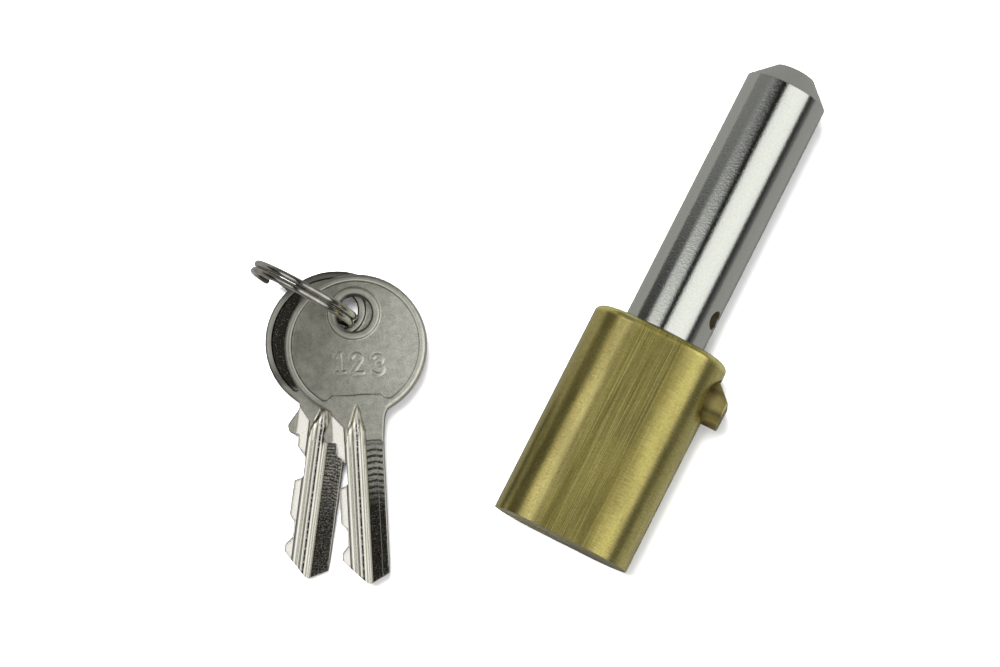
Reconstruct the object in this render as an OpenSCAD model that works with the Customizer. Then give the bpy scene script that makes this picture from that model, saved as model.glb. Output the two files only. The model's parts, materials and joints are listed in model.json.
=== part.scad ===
// Pin lock with two keys on a split ring.
// The lock body is an oval bar with a long locking pin standing out of one
// narrow end, a spring latch in one rounded side and a five-pin key cylinder
// in the other narrow end. Units are millimetres.
// Frame: the origin is on the locking pin's axis, at the shoulder face where
// the pin leaves the body. +Y runs along the pin to its tip, +X points out of
// the side that carries the latch, +Z is square to the broad faces.
// The body lies on its lower broad face, so its rest plane is z = -body_t/2.

/* [Lock body] */
// width of the oval body across X
body_w = 24.3; // [22:0.1:27]
// thickness of the oval body along Z, also twice the radius of its sides
body_t = 16; // [14:0.5:18]
// length of the body along Y
body_l = 38; // [34:0.5:44]
// radius that rounds the shoulder edge round the pin end
edge_r = 1.2; // [0.5:0.1:2]

/* [Locking pin] */
// diameter of the locking pin
pin_d = 14.3; // [12:0.1:16]
// length of the locking pin from the shoulder to its tip
pin_l = 50; // [40:1:60]
// diameter left on the flat tip inside the 45 degree chamfer
tip_d = 7; // [5:0.5:10]
// diameter of the hole drilled across the locking pin
cross_d = 3.3; // [2:0.1:4]
// distance of that hole from the shoulder
cross_y = 5.8; // [4:0.1:9]
// turn of that hole about the pin, measured from +X towards +Z, degrees
cross_turn = 19; // [0:1:90]
// diameter of the spigot that is held in the body
spigot_d = 7; // [6:0.5:8]
// depth of the spigot in the body
spigot_l = 7.6; // [7:0.1:8]

/* [Latch] */
// diameter of the latch bolt
latch_d = 8; // [7:0.5:9]
// distance of the latch axis below the shoulder
latch_y = 6.4; // [6:0.1:7]
// how far the latch nose stands out of the body's side
latch_out = 2.75; // [2:0.05:3.2]

/* [Key cylinder] */
// diameter of the turning plug
plug_d = 12; // [11:0.5:12.5]
// distance of the plug's axis from the body's centre line, towards -X
plug_off = 4.2; // [3.5:0.1:4.5]
// depth at which the plug's bore ends, measured from the shoulder
plug_end = 12.4; // [12:0.1:13]
// distance between neighbouring pin chambers
pitch = 3.8; // [3.5:0.1:4]
// distance of the first chamber from the key stop
first_cut = 4.4; // [4:0.1:5]
// diameter of the pin chambers
chamber_d = 3; // [2.5:0.1:3.2]
// eccentricity of the drive pin in the plug's inner end
crank_e = 2.3; // [2:0.1:2.4]

/* [Keys] */
// diameter of the round key bow
bow_d = 24.1; // [20:0.1:26]
// thickness of the key
key_t = 2.2; // [1.8:0.1:2.4]
// diameter of the hole for the ring
eye_d = 6.2; // [5:0.1:7]
// slope of the two keys as they lie with their bows lifted on the ring, degrees
key_slope = 2.8; // [2:0.1:6]
// heading of the pair of keys about +Z, degrees
key_head = 25; // [15:0.1:35]
// half of the angle between the two keys, degrees
key_fan = 5.2; // [3:0.1:10]

/* [Split ring] */
// outside diameter of the split ring
ring_od = 19.6; // [16:0.1:25]
// thickness of the ring wire
ring_wire = 1.15; // [1:0.05:1.6]
// lean of the standing ring's top towards -Y, degrees
ring_lean = 1.4; // [0:0.1:10]
// turn of the standing ring about Z, degrees
ring_turn = -1.7; // [-10:0.1:10]

/* [Hidden] */
$fn = 72;
run = 0.05;                       // radial clearance of the sliding fits
half_t = body_t / 2;
side_x = body_w / 2;
round_x = side_x - half_t;        // distance of the round sides' axes from x = 0

// Dowels: the first crosses the neck of the spigot, the second the plug's waist.
pin_dowel_x = -3.65;
pin_dowel_y = -3.9;
plug_dowel_y = -13.6;

// Latch along X: the spring works between its seat and the bolt's tail.
latch_seat = -10.6;
latch_tail = -5.1;
latch_nose = side_x + latch_out;

// Key frame: the eye is the origin, u (x) runs across the blade, v (y) along
// it and w (z) through its thickness. The tip points to -v.
blade_back = 3.85;                // u of the plain back edge
blade_top = -4.15;                // u of the uncut top edge
key_stop = -21.7;                 // v of the stop shoulder
key_tip = -45.5;                  // v of the tip
// u of the floor the key pins rest on in each of the five cuts
cuts = [-2.5, -3.9, -3.94, -2.96, -4.02];

// Key cylinder.
plug_r = plug_d / 2;
plug_dowel_x = -plug_off - plug_r;
key_x = plug_dowel_x + 0.1 + blade_back;  // x of a key's eye when it is in the plug
shear_x = plug_r - plug_off;
chamber_r = chamber_d / 2;
tumbler_r = chamber_r - run;
chambers = [for (i = [0:4]) -body_l + first_cut + pitch * i];
chamber_floor = -5.2;
driver_l = 3.4;
driver_x = shear_x + 0.07;
driver_top = driver_x + driver_l;
spring_top = 10.4;
drive_r = 1;
drive_offset = crank_e * cos(45);  // offset of the drive pin from the plug's axis, each way
drive_x = -plug_off + drive_offset;
drive_z = -drive_offset;

// The back key's tip rests on the rest plane; the front key lies on the back one.
eye_back = [-51.35, -19.8, -half_t + key_t / 2 * cos(key_slope) - key_tip * sin(key_slope)];
eye_front_xy = [-48.54, -19.46];
key_normal = [sin(key_head) * sin(key_slope), -cos(key_head) * sin(key_slope), cos(key_slope)];
key_spacing = key_t + 0.15;
eye_front = [eye_front_xy[0], eye_front_xy[1],
  eye_back[2] + (key_spacing - (eye_front_xy[0] - eye_back[0]) * key_normal[0]
                             - (eye_front_xy[1] - eye_back[1]) * key_normal[1]) / key_normal[2]];

ring_centre = [-56.94, -20.56, ring_od / 2 - half_t + 0.02];

// Colours that several pieces share.
bright_color = [0.80, 0.80, 0.80];
dowel_color = [0.55, 0.55, 0.57];
spring_color = [0.70, 0.70, 0.72];
key_color = [0.74, 0.72, 0.66];

// ---------------------------------------------------------------- helpers

// Cylinder along +X between two x values.
module rod_x(radius, from, to, y = 0) {
  translate([from, y, 0]) rotate([0, 90, 0]) cylinder(r = radius, h = to - from);
}

// Cylinder along +Y between two y values.
module rod_y(radius, from, to, x = 0, z = 0) {
  translate([x, from, z]) rotate([-90, 0, 0]) cylinder(r = radius, h = to - from);
}

// Box from its lowest and highest corners.
module box_between(low, high) {
  translate(low) cube([high[0] - low[0], high[1] - low[1], high[2] - low[2]]);
}

// Unit direction of a path at point i, taken between its neighbours.
function path_direction(path, i) =
  let (step = path[min(i + 1, len(path) - 1)] - path[max(i - 1, 0)]) step / norm(step);

// Wire swept along an open path, with flat ends. The axis orients its section.
module wire(path, axis, radius, sides) {
  count = len(path);
  points = [for (i = [0:count - 1])
              let (along = path_direction(path, i),
                   square_to = cross(along, axis),
                   across = square_to / norm(square_to),
                   up = cross(across, along))
                for (k = [0:sides - 1])
                  path[i] + radius * (cos(360 * k / sides) * across + sin(360 * k / sides) * up)];
  skin = [for (i = [0:count - 2]) for (k = [0:sides - 1])
            let (this = i * sides + k, next = i * sides + (k + 1) % sides)
              for (face = [[this, next, next + sides], [this, next + sides, this + sides]]) face];
  ends = [[for (k = [sides - 1:-1:0]) k],
          [for (k = [0:sides - 1]) (count - 1) * sides + k]];
  polyhedron(points = points, faces = concat(skin, ends), convexity = 10);
}

// Compression spring along +X with closed end coils; steps are per turn.
module spring_x(coil_r, wire_r, from, to, y, turns, steps) {
  height = to - from - 2 * wire_r;
  function rise(turn) =
    turn < 1 ? 2 * wire_r * turn :
    turn > turns - 1 ? height - 2 * wire_r * (turns - turn) :
    2 * wire_r + (height - 4 * wire_r) * (turn - 1) / (turns - 2);
  wire([for (i = [0:turns * steps])
          let (turn = i / steps)
            [from + wire_r + rise(turn), y + coil_r * cos(360 * turn), coil_r * sin(360 * turn)]],
       axis = [1, 0, 0], radius = wire_r, sides = 6);
}

// ------------------------------------------------------------- lock body

// Outline of the body seen along the pin: two round sides and flat faces.
module oval() {
  union() {
    translate([round_x, 0]) circle(r = half_t, $fn = 96);
    translate([-round_x, 0]) circle(r = half_t, $fn = 96);
    translate([-round_x, -half_t]) square([2 * round_x, 2 * half_t]);
  }
}

// Section of the rounded shoulder edge: x outwards to half_t, y along the pin.
module edge_section() {
  union() {
    translate([0, -edge_r]) square([half_t - edge_r, edge_r]);
    intersection() {
      translate([half_t - edge_r, -edge_r]) circle(r = edge_r, $fn = 48);
      translate([0, -edge_r]) square([half_t, edge_r]);
    }
  }
}

// The shoulder end of the bar, with its edge rounded all the way round.
module shoulder() {
  for (side = [-1, 1])
    translate([side * round_x, 0, 0])
      rotate([-90, 0, 0]) rotate_extrude($fn = 96) edge_section();
  for (flip = [0, 1])
    translate([-round_x, 0, 0])
      mirror([0, 0, flip]) rotate([90, 0, 90]) linear_extrude(height = 2 * round_x)
        rotate([0, 0, 90]) mirror([0, 1]) edge_section();
}

module lock_body() {
  latch_bore_end = -8.6;
  seat_r = 2.1;
  drive_way_r = 3.5;
  pin_dowel_top = 6;
  plug_dowel_top = 4;
  color([0.62, 0.55, 0.27]) difference() {
    union() {
      translate([0, -edge_r, 0]) rotate([90, 0, 0])
        linear_extrude(height = body_l - edge_r) oval();
      shoulder();
    }
    // socket of the locking pin's spigot
    rod_y(spigot_d / 2 + run, -latch_y, 1);
    // latch bore and the seat of its spring
    rod_x(latch_d / 2 + run, latch_bore_end, side_x + 5, -latch_y);
    rod_x(seat_r, latch_seat, 0, -latch_y);
    // plug bore, with the way through for the drive pin
    rod_y(plug_r + run, -body_l - 1, -plug_end, -plug_off);
    rod_y(drive_way_r, -plug_end - 1, -latch_y - 2, -plug_off);
    // pin chambers
    for (y = chambers) rod_x(chamber_r, 0, side_x + 2, y);
    // dowel holes from the lower face, closed at the upper one
    translate([pin_dowel_x, pin_dowel_y, -half_t - 1])
      cylinder(r = 1, h = half_t + 1 + pin_dowel_top);
    translate([plug_dowel_x, plug_dowel_y, -half_t])
      cylinder(r = 0.75, h = half_t + plug_dowel_top);
  }
}

module locking_pin() {
  pin_r = pin_d / 2;
  tip_r = tip_d / 2;
  spigot_r = spigot_d / 2;
  bevel = 0.4;
  // neck that the dowel crosses
  neck_r = 2.6;
  neck_low = pin_dowel_y - 1.02;
  neck_high = pin_dowel_y + 1.02;
  color(bright_color) difference() {
    // profile: radius, y
    rotate([-90, 0, 0]) rotate_extrude($fn = 96)
      polygon([[0, -spigot_l], [spigot_r - bevel, -spigot_l], [spigot_r, -spigot_l + bevel],
               [spigot_r, neck_low], [neck_r, neck_low], [neck_r, neck_high],
               [spigot_r, neck_high], [spigot_r, 0], [pin_r, 0],
               [pin_r, pin_l - (pin_r - tip_r)], [tip_r, pin_l], [0, pin_l]]);
    translate([0, cross_y, 0]) rotate([0, -cross_turn, 0])
      rod_x(cross_d / 2, -pin_d, pin_d);
  }
}

module pin_retaining_dowel() {
  color(dowel_color) translate([pin_dowel_x, pin_dowel_y, -half_t])
    cylinder(r = 0.98, h = half_t + 5.9);
}

// ---------------------------------------------------------- key cylinder

// w of the floors cut along the blade: two from its +w face, one from its -w face
groove_w = 0.35;
ledge_w = 0.7;
under_groove_w = -0.5;

// Cross-section of the key blade in u and w, grown by a clearance.
module key_section(gap, back) {
  face = key_t / 2 + gap;
  polygon([[blade_top - gap, face], [-2.6 + gap, face],
           [-2.3 + gap, groove_w + gap], [0.8 - gap, groove_w + gap],
           [1.1 - gap, ledge_w + gap], [back + gap, ledge_w + gap],
           [back + gap, -face], [2.4 - gap, -face],
           [2.2 - gap, under_groove_w - gap], [-0.2 + gap, under_groove_w - gap],
           [-0.4 + gap, -face], [blade_top - gap, -face]]);
}

// Space the blade needs inside the plug, in the key frame.
module keyway() {
  gap = 0.1;
  low = blade_top - gap;
  high = blade_back + 1;
  intersection() {
    translate([0, -18, 0]) rotate([90, 0, 0])
      linear_extrude(height = 30) key_section(gap, blade_back + 0.3);
    translate([0, 0, -3]) linear_extrude(height = 6)
      polygon([[low, -17], [high, -17], [high, -44.4], [2.0, -45.8], [-0.4, -45.8], [low, -42]]);
  }
}

module plug() {
  // waist that the dowel runs in, as deep as it is wide each way
  waist = 0.8;
  waist_low = plug_dowel_y - waist;
  waist_high = plug_dowel_y + waist;
  color([0.70, 0.62, 0.33]) difference() {
    union() {
      rod_y(plug_r, -body_l, waist_low, -plug_off);
      rod_y(plug_r - waist, waist_low, waist_high, -plug_off);
      rod_y(plug_r, waist_high, -plug_end - run, -plug_off);
    }
    translate([key_x, -body_l + key_stop, 0]) rotate([0, 0, 180]) keyway();
    for (y = chambers) rod_x(chamber_r, chamber_floor, 4, y);
    // hole of the drive pin
    rod_y(drive_r + 0.01, -15.4, -10, drive_x, drive_z);
  }
}

module drive_pin() {
  color([0.60, 0.60, 0.62]) rod_y(drive_r, -15.35, -8.2, drive_x, drive_z);
}

module plug_retaining_dowel() {
  color(dowel_color) translate([plug_dowel_x, plug_dowel_y, -5.1]) cylinder(r = 0.73, h = 9);
}

// Piece turned about the axis of chamber i; the profile's columns are radius, x.
module turned_in_chamber(i, profile) {
  translate([0, chambers[i], 0]) rotate([0, 90, 0])
    rotate_extrude($fn = 48) polygon(profile);
}

// Key pin: its pointed foot stands on the floor of its cut.
module key_pin(i) {
  foot = key_x - cuts[i] + 0.03;
  top = shear_x - 0.1;
  color([0.78, 0.66, 0.36]) turned_in_chamber(i,
    [[0, foot], [0.5, foot], [tumbler_r, foot + 0.95],
     [tumbler_r, shear_x - 0.35], [1.1, top], [0, top]]);
}

module driver_pin(i) {
  color([0.74, 0.63, 0.36]) turned_in_chamber(i,
    [[0, driver_x], [tumbler_r, driver_x], [tumbler_r, driver_top], [0, driver_top]]);
}

module pin_spring(i) {
  color(spring_color)
    spring_x(coil_r = 1.1, wire_r = 0.16, from = driver_top, to = spring_top,
             y = chambers[i], turns = 7, steps = 14);
}

module key_pin_1() { key_pin(0); }
module key_pin_2() { key_pin(1); }
module key_pin_3() { key_pin(2); }
module key_pin_4() { key_pin(3); }
module key_pin_5() { key_pin(4); }
module driver_pin_1() { driver_pin(0); }
module driver_pin_2() { driver_pin(1); }
module driver_pin_3() { driver_pin(2); }
module driver_pin_4() { driver_pin(3); }
module driver_pin_5() { driver_pin(4); }
module pin_spring_1() { pin_spring(0); }
module pin_spring_2() { pin_spring(1); }
module pin_spring_3() { pin_spring(2); }
module pin_spring_4() { pin_spring(3); }
module pin_spring_5() { pin_spring(4); }

// Five plugs that close the chambers, dressed flush with the round side.
module chamber_plugs() {
  color([0.66, 0.58, 0.30]) intersection() {
    union() for (y = chambers) rod_x(chamber_r, spring_top, side_x + 2, y);
    translate([round_x, -body_l, 0]) rotate([-90, 0, 0])
      cylinder(r = half_t, h = body_l, $fn = 96);
  }
}

// ------------------------------------------------------------------ latch

module latch_bolt() {
  bolt_r = latch_d / 2;
  past = bolt_r + 1;              // z beyond the bolt's surface
  bevel_y = -5.9;                 // y where the bevel meets the nose
  bevel_cut = 8;
  saddle_x = -3.7;                // inner end of the saddle and of the slot
  color([0.64, 0.52, 0.27]) difference() {
    rod_x(bolt_r, latch_tail, latch_nose, -latch_y);
    // 45 degree bevel on the side towards the pin
    translate([latch_nose, bevel_y, -past]) rotate([0, 0, 45])
      cube([bevel_cut, bevel_cut, 2 * past]);
    // saddle that passes under the spigot
    box_between([saddle_x, -8, -past], [6.9, 0, past]);
    // room for the pin's dowel over the tail
    box_between([-6, -5.1, -past], [-3.6, 0, past]);
    // slot the drive pin works in, with room to push the latch in by hand
    box_between([saddle_x, -12, -past], [1.95, -7, -0.5]);
  }
}

module latch_spring() {
  color(spring_color)
    spring_x(coil_r = 1.65, wire_r = 0.2, from = latch_seat, to = latch_tail,
             y = -latch_y, turns = 6, steps = 16);
}

// ------------------------------------------------------------------- keys

// Outlines in the key frame; columns are u, v.
// Blade from the neck along its cuts to the tip and back. Neighbouring cuts of
// nearly the same depth run together.
blade_outline = [
  [blade_back, -14], [blade_top, -14], [blade_top, -23.8],
  [cuts[0], -25.5], [cuts[0], -28.7], [cuts[1], -29.5], [cuts[1], -30.5],
  [cuts[2], -33], [cuts[2], -35.3], [cuts[3], -36.6], [cuts[3], -39],
  [cuts[4], -40.3], [cuts[4], -41.5], [0, key_tip], [0.6, key_tip],
  [3.6, -43.85], [3.72, -41.8], [blade_back, -24]];
// Neck and stop tooth.
neck_outline = [
  [-5.5, -14.6], [-4.44, -13.9], [3.88, -14.05], [4.85, -15.1], [4.9, -16.3],
  [4.42, -17.15], [4.17, -18.25], [4.02, -19.75], [3.88, key_stop], [blade_back, -22.6],
  [blade_top, -22.6], [blade_top, key_stop], [-5.9, key_stop], [-6.25, -20.3],
  [-4.75, -17.7], [-4.62, -16.4]];
// Ends of the blade's grooves in the neck.
groove_outline = [
  [-2.45, -23], [-2.1, -20], [-0.75, -16.8], [-0.19, -15.5],
  [0.35, -16.8], [1, -20.2], [0.95, -23]];
ledge_outline = [
  [0.94, -23], [0.94, -21.6], [blade_back + 0.5, -21.6], [blade_back + 0.5, -23]];
under_groove_outline = [[-0.3, -23], [-0.3, -17.9], [1.0, -16.9], [2.3, -17.9], [2.3, -23]];

// Round bow with a raised rim on both faces.
module bow() {
  centre_v = -5.37;
  field_r = bow_d / 2 - 1.15;
  field_depth = 0.35;
  translate([0, centre_v, -key_t / 2]) difference() {
    cylinder(r = bow_d / 2, h = key_t, $fn = 96);
    translate([0, 0, key_t - field_depth]) cylinder(r = field_r, h = 1, $fn = 96);
    translate([0, 0, field_depth - 1]) cylinder(r = field_r, h = 1, $fn = 96);
  }
}

// Bitted and grooved blade.
module blade() {
  intersection() {
    translate([0, -17.6, 0]) rotate([90, 0, 0])
      linear_extrude(height = 28.6) key_section(0, blade_back);
    translate([0, 0, -3]) linear_extrude(height = 6) polygon(blade_outline);
  }
}

module key() {
  groove_cut = 2;                 // height of the cutters, past the key's faces
  difference() {
    union() {
      bow();
      // boss round the eye
      translate([0, 0, -key_t / 2]) cylinder(r = 4.4, h = key_t);
      translate([0, 0, -key_t / 2]) linear_extrude(height = key_t) polygon(neck_outline);
      blade();
    }
    translate([0, 0, -3]) cylinder(r = eye_d / 2, h = 6);
    // grooves run on into the neck
    translate([0, 0, groove_w])
      linear_extrude(height = groove_cut) polygon(groove_outline);
    translate([0, 0, ledge_w])
      linear_extrude(height = groove_cut) polygon(ledge_outline);
    translate([0, 0, under_groove_w - groove_cut])
      linear_extrude(height = groove_cut) polygon(under_groove_outline);
  }
}

module key_at(eye, fan) {
  translate(eye) rotate([0, 0, key_head]) rotate([key_slope, 0, 0]) rotate([0, 0, fan]) key();
}

module key_front() { color(key_color) key_at(eye_front, key_fan); }
module key_back() { color(key_color) key_at(eye_back, -key_fan); }

// Ring of nearly two turns: midway the wire steps sideways, near the bottom and
// between its two ends. The -Y end is sprung a little away from its neighbour.
// Angles are counted along the wire from the step.
module split_ring() {
  step_at = 246;                  // place of the step, from +X towards +Z
  step_half = 30;
  end_angle = 328;
  spring_from = 200;
  spread = 0.16;
  steps = 110;
  mean_r = (ring_od - ring_wire) / 2;
  offset_y = ring_wire / 2 + 0.023;
  function side_y(angle) =
    angle < -step_half ? offset_y :
    angle > step_half ?
      -offset_y - spread * max(0, (angle - spring_from) / (end_angle - spring_from)) :
    -offset_y * sin(90 * angle / step_half);
  color(bright_color)
    translate(ring_centre) rotate([0, 0, ring_turn]) rotate([ring_lean, 0, 0])
      wire([for (i = [0:steps])
              let (angle = -end_angle + 2 * end_angle * i / steps)
                [mean_r * cos(angle + step_at), side_y(angle), mean_r * sin(angle + step_at)]],
           axis = [0, 1, 0], radius = ring_wire / 2, sides = 12);
}

lock_body();
locking_pin();
pin_retaining_dowel();
plug();
drive_pin();
plug_retaining_dowel();
latch_bolt();
latch_spring();
key_pin_1();
key_pin_2();
key_pin_3();
key_pin_4();
key_pin_5();
driver_pin_1();
driver_pin_2();
driver_pin_3();
driver_pin_4();
driver_pin_5();
pin_spring_1();
pin_spring_2();
pin_spring_3();
pin_spring_4();
pin_spring_5();
chamber_plugs();
split_ring();
key_front();
key_back();
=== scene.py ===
"""A brass padlock with two keys on a split ring, lying on a white floor.

The scene is in metres with +Z up; the lock's long axis runs along Y. Lengths below are in
millimetres and are turned into metres by MM, unless a comment says otherwise.
"""

import json
import math

import bpy
import numpy as np
from mathutils import Matrix, Vector
from mathutils.geometry import delaunay_2d_cdt


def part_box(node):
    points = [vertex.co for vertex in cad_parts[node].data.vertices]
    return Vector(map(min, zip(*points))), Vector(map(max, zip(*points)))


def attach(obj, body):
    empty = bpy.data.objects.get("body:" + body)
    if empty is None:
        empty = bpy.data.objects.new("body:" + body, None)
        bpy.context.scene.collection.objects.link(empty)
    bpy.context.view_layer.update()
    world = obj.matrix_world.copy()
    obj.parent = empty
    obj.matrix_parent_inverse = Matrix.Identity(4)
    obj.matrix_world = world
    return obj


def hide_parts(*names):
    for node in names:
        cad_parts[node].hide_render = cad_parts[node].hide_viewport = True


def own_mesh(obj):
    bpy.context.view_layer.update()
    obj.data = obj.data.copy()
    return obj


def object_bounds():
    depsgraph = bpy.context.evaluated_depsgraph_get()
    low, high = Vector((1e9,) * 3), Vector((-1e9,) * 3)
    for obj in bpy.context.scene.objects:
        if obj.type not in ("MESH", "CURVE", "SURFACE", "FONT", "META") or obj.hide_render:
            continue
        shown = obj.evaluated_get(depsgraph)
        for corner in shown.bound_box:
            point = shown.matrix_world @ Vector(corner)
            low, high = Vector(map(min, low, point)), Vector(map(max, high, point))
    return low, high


MM = 0.001


def scene_box():
    low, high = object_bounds()
    return [[float(v) for v in low], [float(v) for v in high]]


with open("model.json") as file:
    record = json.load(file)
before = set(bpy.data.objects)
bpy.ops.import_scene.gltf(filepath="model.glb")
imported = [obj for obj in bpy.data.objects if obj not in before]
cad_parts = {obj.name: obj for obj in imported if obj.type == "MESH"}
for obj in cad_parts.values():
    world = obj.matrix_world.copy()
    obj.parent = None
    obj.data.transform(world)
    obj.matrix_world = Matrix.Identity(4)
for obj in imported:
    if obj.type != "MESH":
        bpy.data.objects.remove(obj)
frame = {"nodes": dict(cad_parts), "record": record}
CAD_BOX = scene_box()
JOINTS = {j["name"]: j for j in frame["record"]["behaviour"]["joints"]}

# Key dimensions, in the key's own axes: x across the blade, y from tip to bow, z through
# the thickness. The origin is the centre of the eye; the front face looks to +z.
BOW_DROP = 5.37         # the bow's centre lies this far below the eye
BOW_R = 12.05
FIELD_R = 10.98         # inner edge of the bow's raised rim
EYE_R = 3.1
BOSS_R = 4.5            # raised collar round the eye
HALF_THICK = 1.1
SPEAR_Y = -15.4         # pointed upper end of the front groove
CHATTER_PITCH = 1.04    # ripple across the milled band
CHATTER_TURN = 2.1      # its sideways waver, in radians per mm
CHATTER_SWAY = 0.10


def cut_slant(x, y):
    """Below zero where the milled side face has been cut; for numbers and for node values."""
    return (y + 16.95) + (x + 4.5) * 1.17


# ------------------------------------------------------------------ node values
def add_node(tree, kind, inputs=(), out=0, **props):
    """Adds a node, fills its inputs by index or name and returns the output asked for."""
    node = tree.nodes.new(kind)
    for name, value in props.items():
        setattr(node, name, value)
    for key, value in dict(inputs).items():
        socket = node.inputs[key]
        if isinstance(value, Value):
            tree.links.new(value.socket, socket)
        else:
            socket.default_value = (*value, 1) if socket.type == "RGBA" else value
    return Value(tree, node.outputs[out])


def tree_of(values):
    return next(v.tree for v in values if isinstance(v, Value))


def calc(operation, *values, kind="ShaderNodeMath", out=0):
    return add_node(tree_of(values), kind, enumerate(values), out, operation=operation)


def join(x, y, z):
    return add_node(tree_of((x, y, z)), "ShaderNodeCombineXYZ", enumerate((x, y, z)))


def length(x, y, z):
    return calc("LENGTH", join(x, y, z), kind="ShaderNodeVectorMath", out="Value")


class Value:
    """An output socket; each operation on it adds a node to its tree."""

    def __init__(self, tree, socket):
        self.tree = tree
        self.socket = socket

    def __add__(self, other):
        return calc("ADD", self, other)

    def __radd__(self, other):
        return calc("ADD", other, self)

    def __sub__(self, other):
        return calc("SUBTRACT", self, other)

    def __rsub__(self, other):
        return calc("SUBTRACT", other, self)

    def __mul__(self, other):
        return calc("MULTIPLY", self, other)

    def __truediv__(self, other):
        return calc("DIVIDE", self, other)

    def __abs__(self):
        return calc("ABSOLUTE", self)

    def max(self, other):
        return calc("MAXIMUM", self, other)

    def swing(self, by):
        """A 0 to 1 value centred on zero and scaled."""
        return (self - 0.5) * by

    def axes(self):
        first = add_node(self.tree, "ShaderNodeSeparateXYZ", {0: self})
        return [Value(self.tree, s) for s in first.socket.node.outputs]

    def scaled(self, amount):
        """A vector or colour times a number."""
        return add_node(self.tree, "ShaderNodeVectorMath", {0: self, "Scale": amount},
                        operation="SCALE")

    def noise(self, scale=1.0, detail=2, rough=0.5):
        inputs = {"Vector": self, "Scale": scale, "Detail": detail, "Roughness": rough}
        return add_node(self.tree, "ShaderNodeTexNoise", inputs, "Fac")

    def voronoi(self, scale):
        return add_node(self.tree, "ShaderNodeTexVoronoi", {"Vector": self, "Scale": scale},
                        "Distance")

    def ramp(self, over, to=(0.0, 1.0), smooth=True):
        """Goes from to[0] to to[1] as the value crosses the span."""
        return add_node(self.tree, "ShaderNodeMapRange", enumerate((self, *over, *to)),
                        interpolation_type="SMOOTHSTEP" if smooth else "LINEAR")

    def band(self, over, soft):
        """1 inside the span, 0 outside, with soft edges."""
        start, end = over
        return (self.ramp(over=(start - soft, start + soft))
                * self.ramp(over=(end - soft, end + soft), to=(1, 0)))

    def gradient(self, stops):
        """Colour along a 0 to 1 value; stops are (position, (r, g, b)) on any scale."""
        result = add_node(self.tree, "ShaderNodeValToRGB", {0: self})
        elements = result.socket.node.color_ramp.elements
        while len(elements) > 1:
            elements.remove(elements[-1])
        low, high = stops[0][0], stops[-1][0]
        elements[0].position = 0.0
        elements[0].color = (*stops[0][1], 1)
        for position, color in stops[1:]:
            elements.new((position - low) / (high - low)).color = (*color, 1)
        return result

    def mix(self, low, high):
        """Colour from low to high as this value goes from 0 to 1."""
        return add_node(self.tree, "ShaderNodeMix", {0: self, 6: low, 7: high}, 2,
                        data_type="RGBA")

    def lerp(self, low, high):
        """Number from low to high as this value goes from 0 to 1."""
        return add_node(self.tree, "ShaderNodeMix", {0: self, 2: low, 3: high},
                        data_type="FLOAT")

    def tones(self, low, high):
        """Two colours parted by a noise."""
        return self.ramp(over=(0.3, 0.7)).mix(low, high)

    def tint(self, color, mask, by=None):
        """Lays a colour over this one where the mask is, at the strength given."""
        return (mask if by is None else mask * by).mix(self, color)

    def bump(self, depth, normal=None):
        """Normal from a height; depth is in metres."""
        inputs = {"Height": self, "Distance": depth, "Strength": 1.0}
        if normal is not None:
            inputs["Normal"] = normal
        return add_node(self.tree, "ShaderNodeBump", inputs)


def surface_normal(tree):
    return add_node(tree, "ShaderNodeNewGeometry", out="Normal")


def bevel(tree, radius):
    """Rounded normal, radius in metres, and a mask of the edges it rounds."""
    rounded = add_node(tree, "ShaderNodeBevel", {"Radius": radius}, samples=6)
    turned = calc("DOT_PRODUCT", rounded, surface_normal(tree), kind="ShaderNodeVectorMath",
                  out="Value")
    return rounded, turned.ramp(over=(0.985, 0.80))


def new_material(name):
    mat = bpy.data.materials.new(name)
    mat.use_nodes = True
    mat.node_tree.nodes.clear()
    return mat


def new_metal(name):
    """A material and its object coordinates in millimetres."""
    mat = new_material(name)
    return mat, add_node(mat.node_tree, "ShaderNodeTexCoord", out="Object").scaled(1000.0)


def finish_metal(mat, color, rough, normal):
    inputs = {"Base Color": color, "Metallic": 1.0, "Roughness": rough, "Normal": normal}
    shader = add_node(mat.node_tree, "ShaderNodeBsdfPrincipled", inputs)
    mat.node_tree.links.new(
        shader.socket, mat.node_tree.nodes.new("ShaderNodeOutputMaterial").inputs["Surface"])
    return mat


def split_rays(tree, others, camera, output):
    """Shows one shader to the camera and the other to all other rays."""
    is_camera = add_node(tree, "ShaderNodeLightPath", out="Is Camera Ray")
    shader = add_node(tree, "ShaderNodeMixShader", enumerate((is_camera, others, camera)))
    tree.links.new(shader.socket, tree.nodes.new(output).inputs["Surface"])


# ------------------------------------------------------------------ materials
# In join(x * a, y * b, z * c) the factors stretch a noise: a small one draws it out along
# its axis, a large one packs it tight.

# Painted highlights and painted shade across the lock body, bands of light laid into the brass
# colour: x (mm), colour.
BODY_PAINTED_LIGHT = [
    (-12, (0.56, 0.48, 0.16)), (-10, (0.56, 0.48, 0.16)), (-8.7, (0.74, 0.63, 0.20)),
    (-7.4, (0.54, 0.455, 0.14)), (-6, (0.60, 0.515, 0.185)), (-5, (0.80, 0.70, 0.27)),
    (-4, (0.52, 0.445, 0.145)), (-3, (0.36, 0.308, 0.092)), (0, (0.40, 0.343, 0.105)),
    (3, (0.40, 0.343, 0.108)), (4, (0.345, 0.295, 0.085)), (5, (0.275, 0.232, 0.062)),
    (6, (0.30, 0.255, 0.070)), (7, (0.375, 0.322, 0.092)), (8, (0.45, 0.39, 0.115)),
    (9, (0.60, 0.52, 0.18)), (10, (0.45, 0.39, 0.13)), (11, (0.68, 0.60, 0.22)),
    (12, (0.72, 0.64, 0.24))]


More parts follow.
